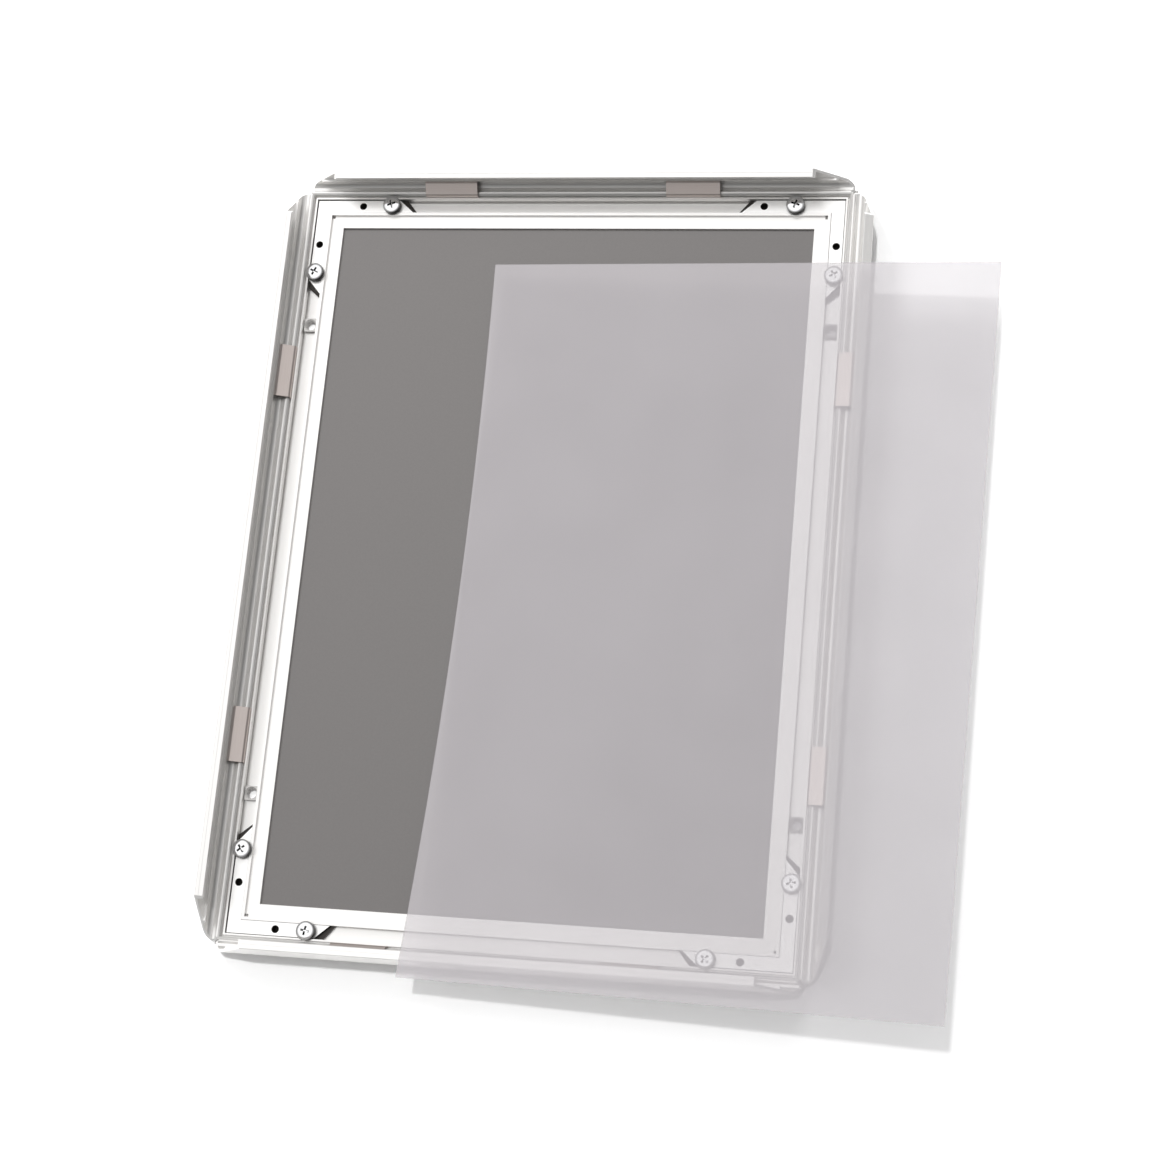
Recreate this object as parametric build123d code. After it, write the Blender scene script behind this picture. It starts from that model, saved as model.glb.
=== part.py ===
from build123d import *
import os
from math import asin, atan2, cos, degrees, hypot, pi, radians, sin, sqrt

os.makedirs("parts", exist_ok=True)

# A4 clip frame lying on its back, open, with its cover sheet lifted out.
# Origin: centre of the four wall holes, on the back plane. +Z out of the front, +Y to the top edge, +X right.
# A section is drawn with u outwards from the picture opening's edge and v up from the back plane.

# Picture opening, and the A4 pocket around it
print_width = 210.0
print_height = 297.0
ledge_overlap = 4.5
opening_width = print_width - 2 * ledge_overlap
opening_height = print_height - 2 * ledge_overlap

# Base profile: ledge, the rim that keeps the print in place, and panel slot
base_height = 5.0
rim_place = 6.6
rim_width = 1.2
rim_height = 1.2
ledge_thickness = 1.1
rear_flange_thickness = 1.2
slot_depth = 5.0

# Base profile: bracket channel
channel_width = 5.8
channel_floor = 2.0
channel_undercut = 0.7
undercut_top = 3.4
back_groove_depth = 0.8
back_groove_margin = 0.3

# Base profile: ridge, spring groove and hinge socket
ridge_thickness = 0.7
ridge_rise = 0.6
ridge_root = 0.4
spring_groove_width = 0.65
spring_groove_floor = 3.6
hook_thickness = 0.6
hook_line_width = 0.25
hook_line_angles = (128.0, 158.0)
foot_setback = 0.45

# Clip rail, drawn closed
front_rise = 5.0
rail_wall = 1.1
lip_setback = 0.2
lip_thickness = 1.1
lip_length = 3.9
lip_line_width = 0.3
lip_line_depth = 0.15
lip_corner_radius = 0.4
lip_tip_radius = 0.3
shoulder_radius = 4.0
shoulder_gap = 0.45
shoulder_cover = 0.07
bead_radius = 1.1
hinge_clearance = 0.05
neck_width = 0.7
mouth_margin = 1.2
catch_rib_place = 8.6
catch_rib_width = 0.8
catch_rib_height = 1.0
mitre_gap = 0.15
clearing_cuts = 3

# How far each rail stands open from closed, and where its neck meets the socket's lip, in degrees
open_angles = {"top": 85.0, "left": 94.5, "bottom": 86.5, "right": 110.5}
open_stop = 112.0

# Leaf springs, two to a side
spring_thickness = 0.4
spring_length = 22.5
spring_knee_rise = 2.4
spring_groove_gap = 0.15
spring_catch_gap = 0.08
spring_fold_share = 0.8
spring_fold_depth = 0.5
spring_starts = {
    "top": {"left": 36.0, "right": 39.3},
    "bottom": {"right": 38.9, "left": 32.2},
    "left": {"lower": 55.6, "upper": 54.9},
    "right": {"upper": 54.6, "lower": 51.2},
}

# Corner brackets and their screws
bracket_gap = 0.15
bracket_outer_gap = 0.35
bracket_top_drop = 0.3
bracket_arm = 24.6
flange_reach = 1.6
bracket_hole_near = 8.0
bracket_hole_spacing = 13.1
bracket_hole_radius = 1.55
corner_notch = 1.2
screw_radius = 1.5
screw_head_radius = 3.8
screw_head_height = 1.9
screw_head_stand = 1.0
screw_head_dome = 0.7
recess_length = 4.4
recess_width = 1.0
recess_depth = 1.1
screw_turns = (20.0, 65.0, 38.0, 80.0, 12.0, 50.0, 72.0, 30.0)

# Wall hole bushes in the long sides
wall_hole_inset = 44.0
wall_hole_radius = 2.0
bush_width = 5.4
bush_length = 5.8
bush_height = 1.6
bush_spigot_radius = 2.5
bush_sink_radius = 2.6
bush_sink_depth = 0.8
bush_corner_radius = 0.8

# Back panel
panel_gap = 0.1
panel_edge_gap = 0.2

# Cover sheet, lying loose over the right and bottom rails
sheet_shy = 2.0
sheet_width = print_width - sheet_shy
sheet_height = print_height - sheet_shy
sheet_thickness = 0.5
sheet_corner_inset = 70.8
sheet_corner_drop = 19.5
sheet_turn = 1.1
sheet_near_height = 6.3
sheet_side_gap = 0.9
sheet_end_gap = 0.3
sheet_end_rise = 2.8
sheet_left_sag = 13.7
sheet_right_sag = 1.2

# Cutting tools reach this far past what they cut
overrun = 2.0

# Places that follow from the sizes above
rim_start = rim_place - rim_width
ledge_height = base_height - rim_height
channel_inner = rim_place
channel_outer = channel_inner + channel_width
channel_middle = channel_inner + channel_width / 2
ridge_outer = channel_outer + ridge_thickness
groove_outer = ridge_outer + spring_groove_width
socket_radius = bead_radius + hinge_clearance
hook_radius = socket_radius + hook_thickness
pivot_u = groove_outer + hook_radius
pivot_v = base_height
base_outer = pivot_u + hook_radius
foot_outer = base_outer - foot_setback
neck_half_angle = degrees(asin(neck_width / 2 / socket_radius))
mouth_high_angle = 90 + neck_half_angle + mouth_margin
mouth_low_angle = 90 - open_stop - neck_half_angle - mouth_margin
front_v = base_height + front_rise
underside_v = front_v - rail_wall
shoulder_foot = pivot_v + hook_radius + shoulder_gap
shoulder_v = front_v - shoulder_radius
shoulder_reach = sqrt(shoulder_radius ** 2 - (shoulder_foot - shoulder_v) ** 2)
shoulder_u = pivot_u + neck_width / 2 + shoulder_cover - shoulder_reach
swing_radius = hypot(pivot_u - lip_setback, front_v - pivot_v)
swing_top = pivot_v + swing_radius
half_width = opening_width / 2
half_height = opening_height / 2
wall_hole_place = half_height - wall_hole_inset
sides = {
    "top": (half_width, half_height, 0.0),
    "left": (half_height, half_width, 90.0),
    "bottom": (half_width, half_height, 180.0),
    "right": (half_height, half_width, 270.0),
}
corners = {
    "top_left": (-1, 1, 0.0),
    "bottom_left": (-1, -1, 90.0),
    "bottom_right": (1, -1, 180.0),
    "top_right": (1, 1, 270.0),
}


def area(u0, u1, v0, v1):
    """A rectangle of the section, from its four limits."""
    return Pos((u0 + u1) / 2, (v0 + v1) / 2) * Rectangle(u1 - u0, v1 - v0)


def strip(start, end, thickness):
    """A straight strip of sheet metal seen on edge, with rounded ends."""
    (u0, v0), (u1, v1) = start, end
    turn = degrees(atan2(v1 - v0, u1 - u0))
    middle = Pos((u0 + u1) / 2, (v0 + v1) / 2) * Rot(0, 0, turn)
    bar = middle * Rectangle(hypot(u1 - u0, v1 - v0), thickness)
    ends = [Pos(u, v) * Circle(thickness / 2) for u, v in (start, end)]
    return bar + ends[0] + ends[1]


def sector(radius, low_angle, high_angle):
    """The part of a disc about the hinge axis between two angles."""
    middle = radians((low_angle + high_angle) / 2)
    start = (radius * cos(radians(low_angle)), radius * sin(radians(low_angle)))
    end = (radius * cos(radians(high_angle)), radius * sin(radians(high_angle)))
    arc = ThreePointArc(start, (radius * cos(middle), radius * sin(middle)), end)
    outline = arc + Line(end, (0, 0)) + Line((0, 0), start)
    return Pos(pivot_u, pivot_v) * make_face(outline)


def rounded(section, corners):
    """Rounds the section's corners that lie nearest to the given points."""
    for u, v, radius in corners:
        corner = section.vertices().sort_by_distance(Vector(u, v, 0))[0]
        section = fillet(corner, radius)
    return section


def bar(section, reach):
    """The section run along X, to either side of the middle."""
    start = Plane(origin=(-reach, 0, 0), x_dir=(0, 1, 0), z_dir=(1, 0, 0))
    return extrude(start * section, 2 * reach)


def mitred(solid, half, gap):
    """A part along X, u = 0 on the X axis, with its ends sawn at 45 degrees."""
    reach = base_outer + swing_radius
    near = half - overrun - gap
    far = half + reach - gap
    plan = Polyline((-near, -overrun), (near, -overrun), (far, reach), (-far, reach), close=True)
    block = extrude(make_face(plan), swing_top + 2 * overrun)
    return solid & Pos(0, 0, -overrun) * block


def placed(solid, side):
    """Moves a part from the X axis to its side of the frame."""
    offset = sides[side][1]
    return Rot(0, 0, sides[side][2]) * Pos(0, offset, 0) * solid


def turned_open(solid, angle):
    """Turns a closed rail about its hinge axis, still on the X axis."""
    hinge = Axis((0, pivot_u, pivot_v), (1, 0, 0))
    return solid.rotate(hinge, -angle)


def base_section():
    """The base extrusion: panel slot, rim, bracket channel, ridge, spring groove and hinge socket."""
    section = area(0, foot_outer, 0, base_height)
    section += area(channel_outer, ridge_outer, base_height - ridge_root, base_height + ridge_rise)
    section += Pos(pivot_u, pivot_v) * Circle(hook_radius)
    section -= area(-overrun, slot_depth, rear_flange_thickness, ledge_height - ledge_thickness)
    section -= area(-overrun, rim_start, ledge_height, base_height + overrun)
    low_inner = channel_inner - channel_undercut
    section -= area(low_inner, channel_outer + channel_undercut, channel_floor, undercut_top)
    section -= area(channel_inner, channel_outer, channel_floor, front_v)
    groove_start = channel_inner + back_groove_margin
    section -= area(groove_start, channel_outer - back_groove_margin, -overrun, back_groove_depth)
    section -= area(ridge_outer, groove_outer, spring_groove_floor, pivot_v + hook_radius)
    section -= Pos(pivot_u, pivot_v) * Circle(socket_radius)
    section -= sector(hook_radius + hinge_clearance, mouth_low_angle, mouth_high_angle)
    for angle in hook_line_angles:
        line_u = pivot_u + hook_radius * cos(radians(angle))
        line_v = pivot_v + hook_radius * sin(radians(angle))
        section -= Pos(line_u, line_v) * Circle(hook_line_width / 2)
    return section


def shoulder_arc(radius, start, end):
    """An arc about the shoulder's middle, between two angles in radians."""
    angles = (start, (start + end) / 2, end)
    return ThreePointArc(*[(shoulder_u + radius * cos(a), shoulder_v + radius * sin(a)) for a in angles])


def rail_section():
    """The clip rail, closed: lip, front wall, round shoulder, hinge bead and the springs' catch rib."""
    lip_tip = front_v - lip_length
    lip_inner = lip_setback + lip_thickness
    inner_radius = shoulder_radius - rail_wall
    outer_angle = asin((shoulder_foot - shoulder_v) / shoulder_radius)
    inner_angle = asin((shoulder_foot - shoulder_v) / inner_radius)
    outer_arc = shoulder_arc(shoulder_radius, pi / 2, outer_angle)
    inner_arc = shoulder_arc(inner_radius, inner_angle, pi / 2)
    lip_line = Polyline(inner_arc @ 1, (lip_inner, underside_v), (lip_inner, lip_tip), (lip_setback, lip_tip),
                        (lip_setback, front_v), outer_arc @ 0)
    section = make_face(outer_arc + Line(outer_arc @ 1, inner_arc @ 0) + inner_arc + lip_line)
    section = rounded(section, [
        (lip_setback, front_v, lip_corner_radius),
        (lip_inner, underside_v, lip_corner_radius),
        (lip_setback, lip_tip, lip_tip_radius),
        (lip_inner, lip_tip, lip_tip_radius),
    ])
    rib_start = lip_setback + catch_rib_place
    rib_foot = underside_v - catch_rib_height
    section += area(rib_start, rib_start + catch_rib_width, rib_foot, underside_v + rail_wall / 2)
    neck_top = shoulder_foot + rail_wall / 2
    section += area(pivot_u - neck_width / 2, pivot_u + neck_width / 2, pivot_v, neck_top)
    section += Pos(pivot_u, pivot_v) * Circle(bead_radius)
    line_middle = front_v - lip_length / 2
    line_half = lip_line_width / 2
    line_end = lip_setback + lip_line_depth
    section -= area(lip_setback - overrun, line_end, line_middle - line_half, line_middle + line_half)
    return section


def clip_rail(side):
    """A rail sawn at 45 degrees, closed and at steps of its travel, so that it clears its neighbours."""
    half = sides[side][0]
    rail = mitred(bar(rail_section(), half + base_outer), half, mitre_gap)
    for step in range(clearing_cuts):
        rail = mitred(turned_open(rail, open_stop / clearing_cuts), half, mitre_gap)
    return turned_open(rail, open_angles[side] - open_stop)


def spring_path(side):
    """Where a leaf spring runs in the section: groove, knee, fold, and its end at the rail's catch rib."""
    foot_u = ridge_outer + spring_groove_width / 2
    foot = (foot_u, spring_groove_floor + spring_groove_gap + spring_thickness / 2)
    knee = (foot_u, base_height + spring_knee_rise)
    catch_u = lip_setback + catch_rib_place + catch_rib_width + spring_catch_gap + spring_thickness / 2
    catch_v = underside_v - spring_catch_gap - spring_thickness / 2
    radius = hypot(catch_u - pivot_u, catch_v - pivot_v)
    angle = atan2(catch_v - pivot_v, catch_u - pivot_u) - radians(open_angles[side])
    end = (pivot_u + radius * cos(angle), pivot_v + radius * sin(angle))
    run = (end[0] - knee[0], end[1] - knee[1])
    span = hypot(run[0], run[1])
    fold_u = knee[0] + spring_fold_share * run[0] + spring_fold_depth * run[1] / span
    fold_v = knee[1] + spring_fold_share * run[1] - spring_fold_depth * run[0] / span
    return [foot, knee, (fold_u, fold_v), end]


def leaf_spring(side, start):
    """One leaf spring of this side, beginning this far from the opening's corner on the side's left."""
    points = spring_path(side)
    section = strip(points[0], points[1], spring_thickness)
    for first, second in zip(points[1:], points[2:]):
        section += strip(first, second, spring_thickness)
    return Pos(start + spring_length / 2 - sides[side][0], 0, 0) * bar(section, spring_length / 2)


def base_profile(side):
    """One base extrusion, with a relief notch in the ledge's corners and wall holes in the long sides."""
    half = sides[side][0]
    solid = mitred(bar(base_section(), half + base_outer), half, 0)
    notch = Box(2 * corner_notch, corner_notch, ledge_thickness + overrun)
    for end in (-1, 1):
        place = Pos(end * (half + rim_start), rim_start - corner_notch / 2, ledge_height)
        solid -= place * notch
    if side in ("left", "right"):
        for end in (-1, 1):
            hole = Cylinder(bush_spigot_radius + bracket_gap, 2 * base_height)
            solid -= Pos(end * wall_hole_place, channel_middle, 0) * hole
    return solid


def corner_bracket():
    """An L of steel in the channels of the top left corner: longer flange, raised band and four holes."""
    low_inner = channel_inner - channel_undercut + bracket_gap
    low_outer = channel_outer + channel_undercut - bracket_gap
    band_inner = channel_inner + bracket_gap
    band_outer = channel_outer - bracket_outer_gap
    band_top = base_height - bracket_top_drop
    flange_arm = bracket_arm + flange_reach
    solid = l_plate(low_inner, low_outer, channel_floor, undercut_top - bracket_gap, flange_arm)
    solid += l_plate(band_inner, band_outer, channel_floor, band_top, bracket_arm)
    for place in bracket_places():
        solid -= Pos(place[0], place[1], 0) * Cylinder(bracket_hole_radius, 2 * front_v)
    return solid


def l_plate(inner, outer, low, high, arm):
    """An L about the opening's corner, between two distances from its edges, its arms cut at 45 degrees."""
    far = arm + (outer - channel_outer)
    tip = far + outer - inner - 2 * (outer - channel_outer)
    plan = Polyline(
        (-outer, outer),
        (far, outer),
        (tip, inner),
        (-inner, inner),
        (-inner, -tip),
        (-outer, -far),
        close=True,
    )
    return Pos(0, 0, low) * extrude(make_face(plan), high - low)


def bracket_places():
    """The top left bracket's four tapped holes: near and far on the flat arm, then on the upright arm."""
    far = bracket_hole_near + bracket_hole_spacing
    flat = [(bracket_hole_near, channel_middle), (far, channel_middle)]
    upright = [(-channel_middle, -bracket_hole_near), (-channel_middle, -far)]
    return flat + upright


def pan_screw(turn):
    """A pan head cross-recess screw that stands in its bracket hole, its tip on the channel floor."""
    under_head = base_height - bracket_top_drop + screw_head_stand
    shank_length = under_head - channel_floor + screw_head_dome
    shank = Pos(0, 0, channel_floor) * extrude(Circle(screw_radius), shank_length)
    head = Pos(0, 0, under_head) * extrude(Circle(screw_head_radius), screw_head_height)
    head = fillet(head.edges().sort_by(Axis.Z)[-1], screw_head_dome)
    arm = Box(recess_length, recess_width, 2 * recess_depth)
    recess = arm + Rot(0, 0, 90) * arm
    top = Pos(0, 0, under_head + screw_head_height) * Rot(0, 0, turn) * recess
    return shank + head - top


def corner_screws(corner, turns):
    """A corner's two screws, in its far holes, but in the near one of the top right corner's flat arm."""
    near_first, far_first, near_second, far_second = bracket_places()
    first, second = far_first, far_second
    if corner == "top_right":
        second = near_second
    screws = [Pos(place[0], place[1], 0) * pan_screw(turn) for place, turn in zip((first, second), turns)]
    return [at_corner(screw, corner) for screw in screws]


def at_corner(solid, corner):
    """Turns and moves a part drawn for the top left corner to another corner."""
    right, up, turn = corners[corner]
    return Pos(right * half_width, up * half_height, 0) * Rot(0, 0, turn) * solid


def wall_bush():
    """A moulded bush for a wall screw: a block in the channel, a spigot through the floor and a sunk hole."""
    block = extrude(RectangleRounded(bush_length, bush_width, bush_corner_radius), bush_height)
    solid = Pos(0, 0, channel_floor) * block
    solid += extrude(Circle(bush_spigot_radius), channel_floor + bush_height / 2)
    top = channel_floor + bush_height
    solid -= Cylinder(wall_hole_radius, 2 * base_height)
    sink = Cone(wall_hole_radius, bush_sink_radius, bush_sink_depth)
    return solid - Pos(0, 0, top - bush_sink_depth / 2) * sink


def back_panel():
    """The back board, held by its edges in the slots of the four profiles."""
    reach = 2 * (slot_depth - panel_edge_gap)
    low = rear_flange_thickness + panel_gap
    high = ledge_height - ledge_thickness - panel_gap
    return Pos(0, 0, low) * extrude(Rectangle(opening_width + reach, opening_height + reach), high - low)


def sheet_edge(top, bottom, sag):
    """One long edge of the bowed sheet, as a thin upright face."""
    middle = (top + bottom) / 2 - Vector(0, 0, sag)
    up = Vector(0, 0, sheet_thickness)
    low = ThreePointArc(top, middle, bottom)
    high = ThreePointArc(bottom + up, middle + up, top + up)
    return make_face([low, Line(bottom, bottom + up), high, Line(top + up, top)])


def cover_sheet():
    """The clear sheet: its top left corner low, its right and lower edges over the open rails."""
    low_left = base_height + sheet_near_height
    rail_share = (opening_width + pivot_u - sheet_corner_inset) / sheet_width
    side_climb = (swing_top + sheet_side_gap - low_left) / rail_share
    end_climb = swing_top + sheet_end_gap + sheet_end_rise - low_left
    side_run = Vector(sqrt(sheet_width ** 2 - side_climb ** 2), 0, side_climb).rotate(Axis.Z, -sheet_turn)
    end_run = Vector(0, -sqrt(sheet_height ** 2 - end_climb ** 2), end_climb).rotate(Axis.Z, -sheet_turn)
    corner = Vector(sheet_corner_inset - half_width, half_height - sheet_corner_drop, low_left)
    left = sheet_edge(corner, corner + end_run, sheet_left_sag)
    right = sheet_edge(corner + side_run, corner + side_run + end_run, sheet_right_sag)
    return loft([left, right], ruled=True)


def save(solid, node):
    export_step(solid, f"parts/{node}.step")
    print(node, "volume", round(solid.volume, 1))


for side in sides:
    save(placed(base_profile(side), side), f"base_profile_{side}")
    save(placed(clip_rail(side), side), f"clip_rail_{side}")

# Each side's springs, in the table's order, from the side's own left end to its right end
for side, starts in spring_starts.items():
    (first, first_start), (second, second_start) = starts.items()
    whole = 2 * sides[side][0]
    save(placed(leaf_spring(side, first_start), side), f"leaf_spring_{side}_{first}")
    start = whole - second_start - spring_length
    save(placed(leaf_spring(side, start), side), f"leaf_spring_{side}_{second}")

for number, corner in enumerate(corners):
    save(at_corner(corner_bracket(), corner), f"corner_bracket_{corner}")
    pair = corner_screws(corner, screw_turns[2 * number:2 * number + 2])
    save(Compound(children=pair), f"bracket_screws_{corner}")

for side, right in (("left", -1), ("right", 1)):
    for level, up in (("upper", 1), ("lower", -1)):
        place = Pos(right * (half_width + channel_middle), up * wall_hole_place, 0)
        save(place * Rot(0, 0, 90) * wall_bush(), f"wall_bush_{side}_{level}")

save(back_panel(), "back_panel")
save(cover_sheet(), "cover_sheet")
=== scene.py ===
# %% [markdown]
# # An open A4 clip frame
#
# This lesson dresses a wall frame for A4 sheets: four extruded aluminium profiles with hinged clip rails,
# leaf springs that snap the rails open and shut, steel corner brackets with chrome screws, a grey back board
# and a hazy clear cover sheet that lies half out of the frame.
#
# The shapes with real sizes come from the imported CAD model, which is loaded first and never moved.
# Everything that is added here is in metres, in the same frame: origin in the middle of the wall holes on the
# back plane, +Z out of the front, +Y to the top edge, +X to the right.

import math

import bmesh
import bpy
from mathutils import Matrix, Vector


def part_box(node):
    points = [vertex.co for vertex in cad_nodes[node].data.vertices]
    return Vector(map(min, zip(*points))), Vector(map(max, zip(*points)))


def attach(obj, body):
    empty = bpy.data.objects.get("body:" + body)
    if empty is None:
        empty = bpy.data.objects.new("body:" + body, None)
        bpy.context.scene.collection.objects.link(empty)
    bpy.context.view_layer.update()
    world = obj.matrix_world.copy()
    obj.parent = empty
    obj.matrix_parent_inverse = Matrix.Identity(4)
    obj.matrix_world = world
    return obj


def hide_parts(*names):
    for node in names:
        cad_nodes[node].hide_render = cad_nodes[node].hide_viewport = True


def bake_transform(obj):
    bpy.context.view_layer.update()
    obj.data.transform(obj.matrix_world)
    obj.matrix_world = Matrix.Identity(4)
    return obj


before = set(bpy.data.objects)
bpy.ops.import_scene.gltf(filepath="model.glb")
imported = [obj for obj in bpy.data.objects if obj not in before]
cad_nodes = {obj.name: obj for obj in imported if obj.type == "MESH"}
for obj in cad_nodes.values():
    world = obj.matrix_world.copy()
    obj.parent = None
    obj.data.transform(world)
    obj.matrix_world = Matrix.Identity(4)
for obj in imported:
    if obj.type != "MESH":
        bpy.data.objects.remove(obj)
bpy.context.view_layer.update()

# %% [markdown]
# ## Two small helpers
#
# Colours are written as sRGB hex values, as a colour picker gives them, but a shader socket takes linear
# light. One function turns the one into the other. A second one adds a node with its settings and its
# sockets, so that a material reads as a list of nodes.

# %% Helpers for colours and nodes
MM = 0.001


def linear(colour):
    """An sRGB hex colour as the linear colour that a socket takes."""
    parts = [int(colour[place:place + 2], 16) / 255 for place in (1, 3, 5)]
    light = [part / 12.92 if part <= 0.04045 else ((part + 0.055) / 1.055) ** 2.4 for part in parts]
    return (*light, 1.0)


def add(tree, kind, sockets=(), **settings):
    """Adds one node: its settings by name, and its sockets, each a value or another node's output."""
    node = tree.nodes.new(kind)
    for name, value in settings.items():
        setattr(node, name, value)
    for name, value in dict(sockets).items():
        if isinstance(value, bpy.types.NodeSocket):
            tree.links.new(value, node.inputs[name])
        else:
            node.inputs[name].default_value = value
    return node


def new_finish(name):
    """A new material with an empty tree, and that tree."""
    finish = bpy.data.materials.new(name)
    finish.use_nodes = True
    finish.node_tree.nodes.clear()
    return finish, finish.node_tree


# %% [markdown]
# ## The camera
#
# The photograph's camera was found from the corners of the opening, the rails and the screws, whose real
# places are known. It looks down on the frame from above the right edge, a little below the lower edge, with
# a moderately long lens. Its place and its three directions are written out, and the lens follows from the
# focal length in pixels of the square picture.

# %% Camera
picture_width_px = 1176
focal_length_px = 2353.22
camera_place = Vector((226.70, -237.77, 888.98)) * MM
camera_right = Vector((0.974798, 0.090214, -0.204033))
camera_down = Vector((0.035647, -0.965824, -0.256736))
camera_forward = Vector((-0.220221, 0.242993, -0.944699))

camera_data = bpy.data.cameras.new("camera")
camera_data.sensor_width = 36.0
camera_data.lens = camera_data.sensor_width * focal_length_px / picture_width_px
camera_data.clip_start = 0.01
camera = bpy.data.objects.new("camera", camera_data)
turn = Matrix((camera_right, -camera_down, -camera_forward)).transposed()
camera.matrix_world = Matrix.Translation(camera_place) @ turn.to_4x4()
bpy.context.scene.collection.objects.link(camera)
bpy.context.scene.camera = camera
print("Lens:", round(camera_data.lens, 2), "mm on a 36 mm sensor")

# %% [markdown]
# ## Studio: floor, soft sky and two lamps
#
# The picture is a bright product shot on a white table. A wide pale floor lies under the frame. Satin metal
# shows what is round it, so the sky does most of the work: a large bright patch stands where the flat faces
# look, above the frame and a little to its top left, and the light falls off from it to a dark horizon. Faces
# that look up turn white, and the rails' inner walls turn grey. The two lamps only light what is matt: a key
# light, almost straight above, draws the thin shadow along the lower rail, and a softbox close over the top
# left corner makes the board and the sheet a little brighter there than at the bottom.

# %% Floor
floor_size = 8.0
floor_drop = 0.1 * MM


def make_floor():
    """A pale, matt floor just under the back plane."""
    finish, tree = new_finish("matt white studio floor")
    shader = add(tree, "ShaderNodeBsdfPrincipled", {"Base Color": linear("#fdfdfd"), "Roughness": 0.9})
    shader.inputs["Specular IOR Level"].default_value = 0.1
    add(tree, "ShaderNodeOutputMaterial", {"Surface": shader.outputs["BSDF"]})
    half = floor_size / 2
    mesh = bpy.data.meshes.new("floor")
    corners = [(x * half, y * half, -floor_drop) for x, y in ((-1, -1), (1, -1), (1, 1), (-1, 1))]
    mesh.from_pydata(corners, [], [(0, 1, 2, 3)])
    mesh.materials.append(finish)
    floor = bpy.data.objects.new("floor", mesh)
    bpy.context.scene.collection.objects.link(floor)


make_floor()

# %% Sky and lamps
sky_middle = Vector((-0.20, 0.24, 1.0)).normalized()
# How far a direction is from the middle of the bright patch, as the cosine of the angle, and its light
sky_shades = ((0.0, 0.12), (0.5, 0.28), (0.72, 0.42), (0.84, 0.72), (0.92, 1.22))
world = bpy.data.worlds.new("studio sky")
world.use_nodes = True
sky = world.node_tree
sky.nodes.clear()
direction = add(sky, "ShaderNodeTexCoord").outputs["Generated"]
nearness = add(sky, "ShaderNodeVectorMath", operation="DOT_PRODUCT")
nearness.inputs[1].default_value = sky_middle
sky.links.new(direction, nearness.inputs[0])
shade = add(sky, "ShaderNodeValToRGB", {"Fac": nearness.outputs["Value"]})
for number, (place, light) in enumerate(sky_shades):
    stop = shade.color_ramp.elements[number] if number < 2 else shade.color_ramp.elements.new(place)
    stop.position = place
    stop.color = (light, light, light, 1.0)
background = add(sky, "ShaderNodeBackground", {"Color": shade.outputs["Color"], "Strength": 1.0})
add(sky, "ShaderNodeOutputWorld", {"Surface": background.outputs["Background"]})
bpy.context.scene.world = world


def add_lamp(name, data, place):
    """Hangs a lamp at this place, aimed at the middle of the frame. Shiny faces don't mirror it."""
    lamp = bpy.data.objects.new(name, data)
    lamp.visible_glossy = False
    lamp.location = place
    lamp.rotation_mode = "QUATERNION"
    lamp.rotation_quaternion = lamp.location.to_track_quat("Z", "Y")
    bpy.context.scene.collection.objects.link(lamp)


key_data = bpy.data.lights.new("key light", "SUN")
key_data.angle = math.radians(3)
key_data.energy = 1.5
add_lamp("key light", key_data, (0.0, 0.16, 1.0))

softbox_data = bpy.data.lights.new("softbox", "AREA")
softbox_data.shape = "DISK"
softbox_data.size = 0.35
softbox_data.energy = 3.6
add_lamp("softbox", softbox_data, (-0.26, 0.40, 0.60))

bpy.context.scene.view_settings.view_transform = "Standard"

# %% [markdown]
# ## Anodised aluminium
#
# The profiles and rails are extruded aluminium, pressed through a die and then anodised to a satin silver.
# The die leaves fine lines along the length, which catch the light as long soft streaks. They are a noise
# stretched along the profile: a long way between changes along it, a fraction of a millimetre across it. It
# tints the metal a little, varies its roughness and drives a slight bump. Two finishes are needed, because
# the lines run along X on the short sides and along Y on the long sides.

# %% Anodised aluminium
die_line_spacing = 0.5 * MM    # real die lines are about 0.1 mm apart; these are coarse enough to show
die_line_run = 180 * MM
oxide_metal_share = 0.75    # the clear oxide layer scatters about a quarter of the light, as a white haze


def anodised_aluminium(name, along):
    """Satin silver anodised extrusion, with its die lines along this axis."""
    finish, tree = new_finish(name)
    place = add(tree, "ShaderNodeTexCoord").outputs["Object"]
    scale = [1 / die_line_spacing] * 3
    scale[along] = 1 / die_line_run
    stretched = add(tree, "ShaderNodeMapping", {"Vector": place, "Scale": scale}).outputs["Vector"]
    lines = add(tree, "ShaderNodeTexNoise", {"Vector": stretched, "Scale": 1.0, "Detail": 2.0}).outputs["Fac"]
    tint = add(tree, "ShaderNodeMix", {"Factor": lines}, data_type="RGBA")
    tint.inputs[6].default_value = linear("#f0eeec")
    tint.inputs[7].default_value = linear("#f5f4f2")
    rough = add(tree, "ShaderNodeMapRange", {"Value": lines, "To Min": 0.28, "To Max": 0.36})
    bump = add(tree, "ShaderNodeBump", {"Height": lines, "Strength": 0.03, "Distance": 0.02 * MM})
    shader = add(tree, "ShaderNodeBsdfPrincipled", {
        "Base Color": tint.outputs[2],
        "Metallic": oxide_metal_share,
        "Roughness": rough.outputs["Result"],
        "Normal": bump.outputs["Normal"],
    })
    add(tree, "ShaderNodeOutputMaterial", {"Surface": shader.outputs["BSDF"]})
    return finish


aluminium_along_x = anodised_aluminium("satin anodised aluminium, lines along X", 0)
aluminium_along_y = anodised_aluminium("satin anodised aluminium, lines along Y", 1)

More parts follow.
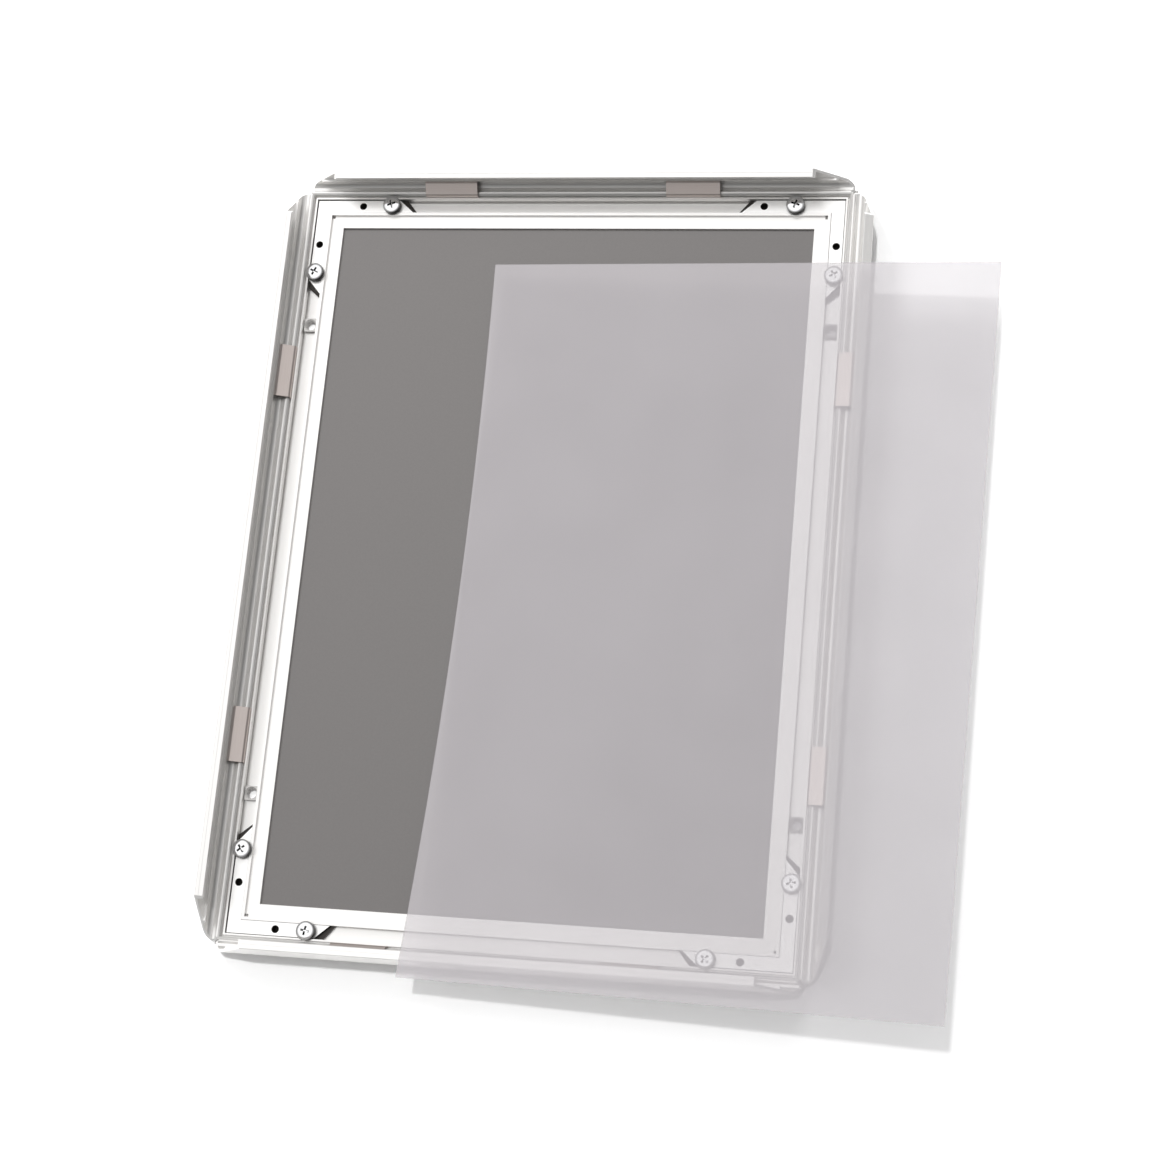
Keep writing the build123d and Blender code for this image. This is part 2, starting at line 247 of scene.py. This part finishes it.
# %% [markdown]
# ## Steel, chrome, plastic and board
#
# The brackets are zinc-plated steel, bright on top. Shade is painted on them: a near-black steel colour on
# the sheared edges and all faces that don't look up, and on the low flange in the channel's undercut. The
# springs are rolled spring steel, warm grey with rolling lines along the strip. The screws are chrome, nearly
# mirrors;
# the dark reflection on their walls and recesses is painted into their colour. The bushes are moulded grey
# plastic, and the back board is a grey polystyrene sheet with a fine leathery grain.

# %% Steel, chrome, plastic and board
polish_grain = 2 * MM
spangle_size = 0.9 * MM
flange_top = 3.25 * MM
rolled_x = (30, 1, 1)    # rolling lines are this many times as long as they are wide
rolled_y = (1, 30, 1)


def metal(name, low, high, grain, rough_low, rough_high, stretch=(1, 1, 1)):
    """A metal whose tint and roughness vary with a grain of this size, stretched by these amounts."""
    finish, tree = new_finish(name)
    place = add(tree, "ShaderNodeTexCoord").outputs["Object"]
    scale = [1 / (grain * amount) for amount in stretch]
    spread = add(tree, "ShaderNodeMapping", {"Vector": place, "Scale": scale}).outputs["Vector"]
    speckle = add(tree, "ShaderNodeTexNoise", {"Vector": spread, "Scale": 1.0, "Detail": 3.0}).outputs["Fac"]
    tint = add(tree, "ShaderNodeMix", {"Factor": speckle}, data_type="RGBA")
    tint.inputs[6].default_value = linear(low)
    tint.inputs[7].default_value = linear(high)
    rough = add(tree, "ShaderNodeMapRange", {"Value": speckle, "To Min": rough_low, "To Max": rough_high})
    shader = add(tree, "ShaderNodeBsdfPrincipled", {
        "Base Color": tint.outputs[2],
        "Metallic": 1.0,
        "Roughness": rough.outputs["Result"],
    })
    add(tree, "ShaderNodeOutputMaterial", {"Surface": shader.outputs["BSDF"]})
    return finish


def grained_plastic(name, low, high, grain, depth, rough):
    """A moulded or rolled plastic with a fine pebbled grain of this size and depth."""
    finish, tree = new_finish(name)
    place = add(tree, "ShaderNodeTexCoord").outputs["Object"]
    noise = add(tree, "ShaderNodeTexNoise", {"Vector": place, "Scale": 1 / grain, "Detail": 3.0})
    pebbles = noise.outputs["Fac"]
    tint = add(tree, "ShaderNodeMix", {"Factor": pebbles}, data_type="RGBA")
    tint.inputs[6].default_value = linear(low)
    tint.inputs[7].default_value = linear(high)
    bump = add(tree, "ShaderNodeBump", {"Height": pebbles, "Strength": 0.5, "Distance": depth})
    shader = add(tree, "ShaderNodeBsdfPrincipled", {
        "Base Color": tint.outputs[2],
        "Roughness": rough,
        "Normal": bump.outputs["Normal"],
    })
    add(tree, "ShaderNodeOutputMaterial", {"Surface": shader.outputs["BSDF"]})
    return finish


def chromed_steel():
    """Chrome on the screws' crowns, with a painted dark reflection, a near-black colour, on the walls and
    recesses that don't face up.
    """
    finish, tree = new_finish("chromed screw steel")
    place = add(tree, "ShaderNodeTexCoord").outputs["Object"]
    polish = add(tree, "ShaderNodeTexNoise", {"Vector": place, "Scale": 1 / polish_grain, "Detail": 2.0})
    # Painted reflection: faces that don't look up get a near-black colour instead of chrome.
    normal = add(tree, "ShaderNodeNewGeometry").outputs["Normal"]
    upward = add(tree, "ShaderNodeSeparateXYZ", {"Vector": normal}).outputs["Z"]
    crown = add(tree, "ShaderNodeMapRange", {"Value": upward, "From Min": 0.35, "From Max": 0.85})
    tint = add(tree, "ShaderNodeMix", {"Factor": crown.outputs["Result"]}, data_type="RGBA")
    tint.inputs[6].default_value = linear("#252423")
    tint.inputs[7].default_value = linear("#f0f0f1")
    rough = add(tree, "ShaderNodeMapRange", {"Value": polish.outputs["Fac"], "To Min": 0.06, "To Max": 0.12})
    shader = add(tree, "ShaderNodeBsdfPrincipled", {
        "Base Color": tint.outputs[2],
        "Metallic": 1.0,
        "Roughness": rough.outputs["Result"],
    })
    add(tree, "ShaderNodeOutputMaterial", {"Surface": shader.outputs["BSDF"]})
    return finish


def plated_steel():
    """Bright zinc on the upper plate, with painted shade, a near-black steel colour, on faces that don't look
    up and on the low plate under it.
    """
    finish, tree = new_finish("zinc-plated bracket steel")
    place = add(tree, "ShaderNodeTexCoord").outputs["Object"]
    spangle = add(tree, "ShaderNodeTexNoise", {"Vector": place, "Scale": 1 / spangle_size, "Detail": 3.0})
    spangle = spangle.outputs["Fac"]
    plate = add(tree, "ShaderNodeMix", {"Factor": spangle}, data_type="RGBA")
    plate.inputs[6].default_value = linear("#f8f7f5")
    plate.inputs[7].default_value = linear("#fdfcfb")
    # Painted shade: faces that don't look up and everything below the flange's top turn near black.
    normal = add(tree, "ShaderNodeNewGeometry").outputs["Normal"]
    upward = add(tree, "ShaderNodeSeparateXYZ", {"Vector": normal}).outputs["Z"]
    flat = add(tree, "ShaderNodeMapRange", {"Value": upward, "From Min": 0.3, "From Max": 0.6})
    upper = add(tree, "ShaderNodeMapRange", {
        "Value": add(tree, "ShaderNodeSeparateXYZ", {"Vector": place}).outputs["Z"],
        "From Min": flange_top + 0.1 * MM,
        "From Max": flange_top + 0.3 * MM,
    })
    bright = add(tree, "ShaderNodeMath", operation="MULTIPLY")
    tree.links.new(flat.outputs["Result"], bright.inputs[0])
    tree.links.new(upper.outputs["Result"], bright.inputs[1])
    tint = add(tree, "ShaderNodeMix", {"Factor": bright.outputs["Value"]}, data_type="RGBA")
    tint.inputs[6].default_value = linear("#393634")
    tree.links.new(plate.outputs[2], tint.inputs[7])
    rough = add(tree, "ShaderNodeMapRange", {"Value": spangle, "To Min": 0.26, "To Max": 0.34})
    shader = add(tree, "ShaderNodeBsdfPrincipled", {
        "Base Color": tint.outputs[2],
        "Metallic": oxide_metal_share,
        "Roughness": rough.outputs["Result"],
    })
    add(tree, "ShaderNodeOutputMaterial", {"Surface": shader.outputs["BSDF"]})
    return finish


zinc_steel = plated_steel()
chrome = chromed_steel()
# Near-black thread: painted shade for the depth of the empty tapped holes.
hole_shade_steel = metal("raw steel thread, black with oil", "#2a2826", "#3a3734", 0.5 * MM, 0.45, 0.6)
spring_looks = ("#e0d3cd", "#eee4df", 0.4 * MM, 0.34, 0.46)
spring_steel_x = metal("rolled spring steel, lines along X", *spring_looks, rolled_x)
spring_steel_y = metal("rolled spring steel, lines along Y", *spring_looks, rolled_y)
bush_plastic = grained_plastic("moulded grey bush plastic", "#a9a7a5", "#b9b7b5", 0.5 * MM, 0.02 * MM, 0.45)
back_board = grained_plastic("grained grey polystyrene board", "#656362", "#6c6968", 0.9 * MM, 0.05 * MM, 0.5)

# %% Finishes of the CAD nodes
def finish_of(node):
    """The finish of a CAD node, by what its name says it is."""
    lengthwise = node.endswith(("_top", "_bottom"))
    if node.startswith(("base_profile", "clip_rail")):
        return aluminium_along_x if lengthwise else aluminium_along_y
    if node.startswith("corner_bracket"):
        return zinc_steel
    if node.startswith("wall_bush"):
        return bush_plastic
    return back_board


for name, piece in cad_nodes.items():
    piece.data.materials.clear()
    piece.data.materials.append(finish_of(name))
print("CAD nodes with a finish:", len(cad_nodes))

# %% [markdown]
# ## Sizes of the section
#
# The springs and the sheet are rebuilt finer than in CAD, so a few of the frame's sizes are needed again, in
# millimetres: u runs outwards from the opening's edge and v up from the back plane.

# %% Sizes that the springs and the sheet follow
crease_angle = math.radians(30)    # edges bent by more than this stay sharp
opening_half_width = 100.5
opening_half_height = 144.0
pivot_u = 15.5
pivot_v = 5.0
side_turns = {"top": 0.0, "left": 90.0, "bottom": 180.0, "right": 270.0}
side_offsets = {
    "top": opening_half_height,
    "left": opening_half_width,
    "bottom": opening_half_height,
    "right": opening_half_width,
}
open_angles = {"top": 85.0, "left": 94.5, "bottom": 86.5, "right": 110.5}


def on_side(side, along, u, v):
    """A point of a side's section, this far along it, in metres in the row frame."""
    turn = Matrix.Rotation(math.radians(side_turns[side]), 3, "Z")
    return turn @ Vector((along, side_offsets[side] + u, v)) * MM


# %% [markdown]
# ## Leaf springs
#
# Each side has two leaf springs, strips of spring steel that stand in a narrow groove of the base, lean over
# to the rail and catch behind its rib. Their shape follows a rule, a bent line with rounded corners pulled
# out to the strip's width, so Geometry Nodes make them: the line is rounded, its edges are extruded along the
# side and a Solidify modifier gives the thickness. Each spring is bent to reach its rail in the open
# position.

# %% Geometry Nodes for a bent strip
spring_thickness = 0.4
spring_bend_radius = 0.9
spring_foot = (13.425, 3.95)
spring_knee = (13.425, 7.4)
spring_catch = (9.88, 8.62)
spring_fold_share = 0.8
spring_fold_depth = 0.5


def bent_strip_tree():
    """Rounds a line's corners and pulls it out to a strip."""
    tree = bpy.data.node_groups.new("bent strip", "GeometryNodeTree")
    face = tree.interface
    face.new_socket("Geometry", in_out="INPUT", socket_type="NodeSocketGeometry")
    face.new_socket("Bend radius", in_out="INPUT", socket_type="NodeSocketFloat")
    face.new_socket("Strip", in_out="INPUT", socket_type="NodeSocketVector")
    face.new_socket("Finish", in_out="INPUT", socket_type="NodeSocketMaterial")
    face.new_socket("Geometry", in_out="OUTPUT", socket_type="NodeSocketGeometry")
    given = add(tree, "NodeGroupInput")
    line = add(tree, "GeometryNodeMeshToCurve", {"Mesh": given.outputs["Geometry"]})
    rounded = add(tree, "GeometryNodeFilletCurve", {
        "Curve": line.outputs["Curve"],
        "Count": 10,
        "Radius": given.outputs["Bend radius"],
        "Limit Radius": True,
    }, mode="POLY")
    edges = add(tree, "GeometryNodeCurveToMesh", {"Curve": rounded.outputs["Curve"]})
    strip = add(tree, "GeometryNodeExtrudeMesh", {
        "Mesh": edges.outputs["Mesh"],
        "Offset": given.outputs["Strip"],
    }, mode="EDGES")
    smooth = add(tree, "GeometryNodeSetShadeSmooth", {"Geometry": strip.outputs["Mesh"]})
    real = add(tree, "GeometryNodeRealizeInstances", {"Geometry": smooth.outputs["Geometry"]})
    finished = add(tree, "GeometryNodeSetMaterial", {
        "Geometry": real.outputs["Geometry"],
        "Material": given.outputs["Finish"],
    })
    add(tree, "NodeGroupOutput", {"Geometry": finished.outputs["Geometry"]})
    return tree


def with_nodes(name, mesh, tree, values):
    """An object with this mesh and a Geometry Nodes modifier, its inputs set by their names."""
    piece = bpy.data.objects.new(name, mesh)
    bpy.context.scene.collection.objects.link(piece)
    modifier = piece.modifiers.new("shape", "NODES")
    modifier.node_group = tree
    for socket in tree.interface.items_tree:
        if socket.in_out == "INPUT" and socket.name in values:
            modifier[socket.identifier] = values[socket.name]
    return piece


def made_plain(piece):
    """Turns a piece with modifiers into a plain mesh, without them."""
    bpy.context.view_layer.update()
    evaluated = piece.evaluated_get(bpy.context.evaluated_depsgraph_get())
    mesh = bpy.data.meshes.new_from_object(evaluated)
    mesh.name = piece.name
    piece.modifiers.clear()
    piece.data = mesh
    return piece


# %% Springs of the four sides
strip_tree = bent_strip_tree()


def spring_path(side):
    """The bent line of a side's springs in its section: foot, knee, fold and end."""
    reach = math.hypot(spring_catch[0] - pivot_u, spring_catch[1] - pivot_v)
    angle = math.atan2(spring_catch[1] - pivot_v, spring_catch[0] - pivot_u) - math.radians(open_angles[side])
    end = (pivot_u + reach * math.cos(angle), pivot_v + reach * math.sin(angle))
    run_u, run_v = end[0] - spring_knee[0], end[1] - spring_knee[1]
    span = math.hypot(run_u, run_v)
    fold = (spring_knee[0] + spring_fold_share * run_u + spring_fold_depth * run_v / span,
            spring_knee[1] + spring_fold_share * run_v - spring_fold_depth * run_u / span)
    return [spring_foot, spring_knee, fold, end]


def make_springs(side):
    """Both springs of a side as one piece, bent to reach the side's rail in its open position."""
    names = sorted(node for node in cad_nodes if node.startswith(f"leaf_spring_{side}_"))
    along = on_side(side, 1, 0, 0) - on_side(side, 0, 0, 0)
    along.normalize()
    path = spring_path(side)
    points, lines = [], []
    for node in names:
        low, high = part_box(node)
        start = min(along.dot(low), along.dot(high))
        length = abs(along.dot(high) - along.dot(low))
        first = len(points)
        points += [on_side(side, start / MM, u, v) for u, v in path]
        lines += [(first + step, first + step + 1) for step in range(len(path) - 1)]
    mesh = bpy.data.meshes.new(f"springs_{side}")
    mesh.from_pydata(points, lines, [])
    steel = spring_steel_x if side in ("top", "bottom") else spring_steel_y
    piece = with_nodes(f"springs_{side}", mesh, strip_tree, {
        "Bend radius": spring_bend_radius * MM,
        "Strip": tuple(along * length),
        "Finish": steel,
    })
    wall = piece.modifiers.new("thickness", "SOLIDIFY")
    wall.thickness = spring_thickness * MM
    wall.offset = 0.0
    made_plain(piece)
    piece.data.set_sharp_from_angle(angle=crease_angle)
    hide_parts(*names)
    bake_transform(piece)
    print(piece.name, len(piece.data.polygons), "faces")


for side in side_turns:
    make_springs(side)

# %% [markdown]
# ## Screws and empty tapped holes
#
# Each corner bracket has four tapped holes, and two chromed pan head screws in them. A screw is a shape of
# revolution with a tapered cross recess: its outline is spun, and the cross is cut with a boolean. An empty
# hole gets its thread as a spun cup of raw steel, coloured near black: painted shade for the deep hole. Then
# Geometry Nodes set them on the holes, the screws turned as they came to rest.

# %% One pan head screw
head_radius = 3.8
head_foot = 5.7
head_height = 1.9
shank_radius = 1.5
shank_foot = 2.0
thread_pitch = 0.5
thread_depth = 0.25
recess_reach = 2.2
recess_width = 1.0
recess_depth = 1.3
recess_taper_share = 0.45
recess_overcut = 0.5
screw_sides = 48
head_wall_share = 0.55    # of the head's height; the dome rises from there
head_flat_share = 0.55    # of the head's radius; the dome's flat middle
head_dome_share = 0.4
head_edge = 0.15
dome_steps = 8


def screw_outline():
    """Half the screw's outline, from its tip over the thread and the domed head, as radius and height."""
    outline = [(0.0, shank_foot), (shank_radius - thread_depth, shank_foot)]
    turns = round((head_foot - shank_foot) / thread_pitch)
    for turn_number in range(turns):
        crest = shank_foot + (turn_number + 0.5) * thread_pitch
        outline += [(shank_radius, crest), (shank_radius - thread_depth, crest + thread_pitch / 2)]
    side_top = head_foot + head_wall_share * head_height
    outline += [(head_radius - head_edge, head_foot), (head_radius, head_foot + head_edge)]
    outline.append((head_radius, side_top))
    for step in range(1, dome_steps + 1):
        angle = math.pi / 2 * step / dome_steps
        reach = head_radius * (head_flat_share + (1 - head_flat_share) * math.cos(angle))
        outline.append((reach, side_top + head_dome_share * head_height * math.sin(angle)))
    outline.append((0.0, head_foot + head_height))
    return outline


def spun(outline):
    """A closed body of revolution about Z, in metres."""
    shell = bmesh.new()
    points = [shell.verts.new((radius * MM, 0, height * MM)) for radius, height in outline]
    edges = [shell.edges.new(pair) for pair in zip(points, points[1:])]
    bmesh.ops.spin(
        shell, geom=points + edges, cent=(0, 0, 0), axis=(0, 0, 1), angle=math.tau, steps=screw_sides)
    bmesh.ops.remove_doubles(shell, verts=shell.verts, dist=0.001 * MM)
    bmesh.ops.recalc_face_normals(shell, faces=shell.faces)
    mesh = bpy.data.meshes.new("pan head screw")
    shell.to_mesh(mesh)
    shell.free()
    return mesh


def cross_cutter():
    """The tapered cross that cuts the recess, its top just above the head."""
    half = recess_width / 2
    reach = recess_reach
    plan = [(half, half), (reach, half), (reach, -half), (half, -half), (half, -reach), (-half, -reach),
            (-half, -half), (-reach, -half), (-reach, half), (-half, half), (-half, reach), (half, reach)]
    top = head_foot + head_height + recess_overcut
    low = head_foot + head_height - recess_depth
    taper = recess_taper_share
    shape = bmesh.new()
    upper = [shape.verts.new((u * MM, v * MM, top * MM)) for u, v in plan]
    lower = [shape.verts.new((u * taper * MM, v * taper * MM, low * MM)) for u, v in plan]
    shape.faces.new(upper[::-1])
    shape.faces.new(lower)
    for place in range(len(plan)):
        after = (place + 1) % len(plan)
        shape.faces.new((upper[place], upper[after], lower[after], lower[place]))
    bmesh.ops.recalc_face_normals(shape, faces=shape.faces)
    mesh = bpy.data.meshes.new("cross cutter")
    shape.to_mesh(mesh)
    shape.free()
    return mesh


def make_screw():
    """One screw about the Z axis, with its recess cut."""
    screw = bpy.data.objects.new("one screw", spun(screw_outline()))
    cutter = bpy.data.objects.new("cross cutter", cross_cutter())
    for thing in (screw, cutter):
        bpy.context.scene.collection.objects.link(thing)
    cut = screw.modifiers.new("recess", "BOOLEAN")
    cut.operation = "DIFFERENCE"
    cut.solver = "EXACT"
    cut.object = cutter
    made_plain(screw)
    bpy.data.objects.remove(cutter)
    return screw


one_screw = make_screw()
print("One screw:", len(one_screw.data.polygons), "faces")

# %% One tapped hole
hole_radius = 1.54
hole_foot = 2.05
hole_top = 4.6


def tapped_hole():
    """The thread of an empty hole, about the Z axis, open at the top, with a closed bottom that stands in for
    the shade deep in the hole.
    """
    outline = [(0.0, hole_foot), (hole_radius - thread_depth, hole_foot)]
    for turn_number in range(int((hole_top - hole_foot) / thread_pitch)):
        root = hole_foot + (turn_number + 0.5) * thread_pitch
        outline += [(hole_radius, root), (hole_radius - thread_depth, root + thread_pitch / 2)]
    outline.append((hole_radius, hole_top))
    cup = bpy.data.objects.new("one tapped hole", spun(outline))
    cup.data.flip_normals()
    bpy.context.scene.collection.objects.link(cup)
    return cup


one_hole = tapped_hole()
print("One tapped hole:", len(one_hole.data.polygons), "faces")

# %% Screws and holes set on the brackets
channel_middle = 9.5
screw_turns = {
    "top_left": (20.0, 65.0),
    "bottom_left": (38.0, 80.0),
    "bottom_right": (12.0, 50.0),
    "top_right": (72.0, 30.0),
}
# Where each corner's empty holes are, from the opening's corner: along the X arm, then along the Y arm
empty_holes = {
    "top_left": (8.0, 8.0),
    "bottom_left": (8.0, 8.0),
    "bottom_right": (8.0, 8.0),
    "top_right": (21.1, 8.0),
}


def on_holes_tree():
    """Sets a screw or a lining on each point, turned by the point's own angle."""
    tree = bpy.data.node_groups.new("set on holes", "GeometryNodeTree")
    face = tree.interface
    face.new_socket("Geometry", in_out="INPUT", socket_type="NodeSocketGeometry")
    face.new_socket("Part", in_out="INPUT", socket_type="NodeSocketObject")
    face.new_socket("Finish", in_out="INPUT", socket_type="NodeSocketMaterial")
    face.new_socket("Geometry", in_out="OUTPUT", socket_type="NodeSocketGeometry")
    given = add(tree, "NodeGroupInput")
    part = add(tree, "GeometryNodeObjectInfo", {"Object": given.outputs["Part"]})
    angle = add(tree, "GeometryNodeInputNamedAttribute", {"Name": "turn"}, data_type="FLOAT")
    turned = add(tree, "ShaderNodeCombineXYZ", {"Z": angle.outputs["Attribute"]})
    placed = add(tree, "GeometryNodeInstanceOnPoints", {
        "Points": given.outputs["Geometry"],
        "Instance": part.outputs["Geometry"],
        "Rotation": turned.outputs["Vector"],
    })
    real = add(tree, "GeometryNodeRealizeInstances", {"Geometry": placed.outputs["Instances"]})
    finished = add(tree, "GeometryNodeSetMaterial", {
        "Geometry": real.outputs["Geometry"],
        "Material": given.outputs["Finish"],
    })
    add(tree, "NodeGroupOutput", {"Geometry": finished.outputs["Geometry"]})
    return tree


def make_corner_screws(corner, turns, tree):
    """A corner's two screws, in place of its CAD node, on opposite corners of that node's box."""
    low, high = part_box(f"bracket_screws_{corner}")
    inset = head_radius * MM
    if corner in ("top_left", "bottom_right"):
        holes = [(high.x - inset, high.y - inset, 0), (low.x + inset, low.y + inset, 0)]
    else:
        holes = [(low.x + inset, high.y - inset, 0), (high.x - inset, low.y + inset, 0)]
    piece = set_on_holes(f"screws_{corner}", holes, turns, tree, one_screw, chrome)
    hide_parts(f"bracket_screws_{corner}")


def set_on_holes(name, holes, turns, tree, part, finish):
    """One piece with a copy of the part on each of these holes, in degrees turned."""
    mesh = bpy.data.meshes.new(name)
    mesh.from_pydata(holes, [], [])
    angles = mesh.attributes.new("turn", "FLOAT", "POINT")
    angles.data.foreach_set("value", [math.radians(angle) for angle in turns])
    piece = with_nodes(name, mesh, tree, {"Part": part, "Finish": finish})
    made_plain(piece)
    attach(piece, "base_frame")
    print(piece.name, len(piece.data.polygons), "faces")
    return piece


def make_corner_linings(corner, places, tree):
    """The linings of a corner's two empty holes."""
    right = 1 if corner.endswith("right") else -1
    up = 1 if corner.startswith("top") else -1
    along_x, along_y = places
    holes = [
        (right * (opening_half_width - along_x) * MM, up * (opening_half_height + channel_middle) * MM, 0),
        (right * (opening_half_width + channel_middle) * MM, up * (opening_half_height - along_y) * MM, 0),
    ]
    piece = set_on_holes(f"tapped_holes_{corner}", holes, (0.0, 90.0), tree, one_hole, hole_shade_steel)


hole_tree = on_holes_tree()
for corner, turns in screw_turns.items():
    make_corner_screws(corner, turns, hole_tree)
    make_corner_linings(corner, empty_holes[corner], hole_tree)
for part in (one_screw, one_hole):
    bpy.data.objects.remove(part)

# %% [markdown]
# ## Cover sheet
#
# The cover is a soft, hazy PVC sheet, cut 2 mm smaller than A4. It lies loose: one corner is low in the
# opening, the long left edge sags to the board, and the right and lower edges ride over the open rails. A
# fine grid follows that bow, with a slight ripple that a sheet from a roll keeps, and Solidify gives its
# thickness. The haze is a shader that lets part of the light straight through and scatters the rest.

# %% Hazy PVC
mottle_size = 28 * MM


def hazy_pvc():
    """Anti-glare PVC sheet: partly see-through, with a soft gloss and a faint mottle in its haze."""
    finish, tree = new_finish("hazy anti-glare PVC sheet")
    place = add(tree, "ShaderNodeTexCoord").outputs["Object"]
    noise = add(tree, "ShaderNodeTexNoise", {"Vector": place, "Scale": 1 / mottle_size, "Detail": 0.0})
    mottle = noise.outputs["Fac"]
    tint = add(tree, "ShaderNodeMix", {"Factor": mottle}, data_type="RGBA")
    tint.inputs[6].default_value = linear("#b7b3b6")
    tint.inputs[7].default_value = linear("#bdb9bc")
    gloss = add(tree, "ShaderNodeMapRange", {"Value": mottle, "To Min": 0.4, "To Max": 0.46})
    shader = add(tree, "ShaderNodeBsdfPrincipled", {
        "Base Color": tint.outputs[2],
        "Roughness": gloss.outputs["Result"],
        "Alpha": 0.42,
    })
    add(tree, "ShaderNodeOutputMaterial", {"Surface": shader.outputs["BSDF"]})
    return finish


# %% The bowed sheet
sheet_width = 208.0
sheet_height = 295.0
sheet_thickness = 0.5
sheet_corner = Vector((-29.7, 124.5, 11.3))
sheet_side_climb = 15.27
sheet_end_climb = 12.90
sheet_turn = 1.1
sheet_left_sag = 13.7
sheet_right_sag = 1.2
ripple_height = 0.15
ripple_length = 95.0
columns = 52
rows = 74


def sheet_point(across_share, down_share):
    """The sheet's underside at these shares of its width and height, in metres."""
    side_run = Vector((math.sqrt(sheet_width ** 2 - sheet_side_climb ** 2), 0, sheet_side_climb))
    end_run = Vector((0, -math.sqrt(sheet_height ** 2 - sheet_end_climb ** 2), sheet_end_climb))
    turned = Matrix.Rotation(math.radians(-sheet_turn), 3, "Z")
    point = sheet_corner + turned @ (side_run * across_share + end_run * down_share)
    sag = sheet_left_sag + (sheet_right_sag - sheet_left_sag) * across_share
    point.z -= 4 * sag * down_share * (1 - down_share)
    wave = math.sin(math.tau * across_share * sheet_width / ripple_length)
    point.z += ripple_height * (1 + wave) * math.sin(math.pi * down_share)
    return point * MM


def make_sheet():
    """The cover sheet as a fine bowed grid with a thickness, in place of its CAD node."""
    points = []
    for row in range(rows + 1):
        points += [sheet_point(column / columns, row / rows) for column in range(columns + 1)]
    faces = []
    for row in range(rows):
        for column in range(columns):
            first = row * (columns + 1) + column
            faces.append((first, first + columns + 1, first + columns + 2, first + 1))
    mesh = bpy.data.meshes.new("clear_sheet")
    mesh.from_pydata(points, [], faces)
    mesh.materials.append(hazy_pvc())
    sheet = bpy.data.objects.new("clear_sheet", mesh)
    bpy.context.scene.collection.objects.link(sheet)
    wall = sheet.modifiers.new("thickness", "SOLIDIFY")
    wall.thickness = sheet_thickness * MM
    wall.offset = 1.0
    made_plain(sheet)
    sheet.data.polygons.foreach_set("use_smooth", [True] * len(sheet.data.polygons))
    sheet.data.set_sharp_from_angle(angle=crease_angle)
    sheet.visible_glossy = False
    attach(sheet, "cover_sheet")
    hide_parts("cover_sheet")
    print(sheet.name, len(sheet.data.polygons), "faces")


make_sheet()
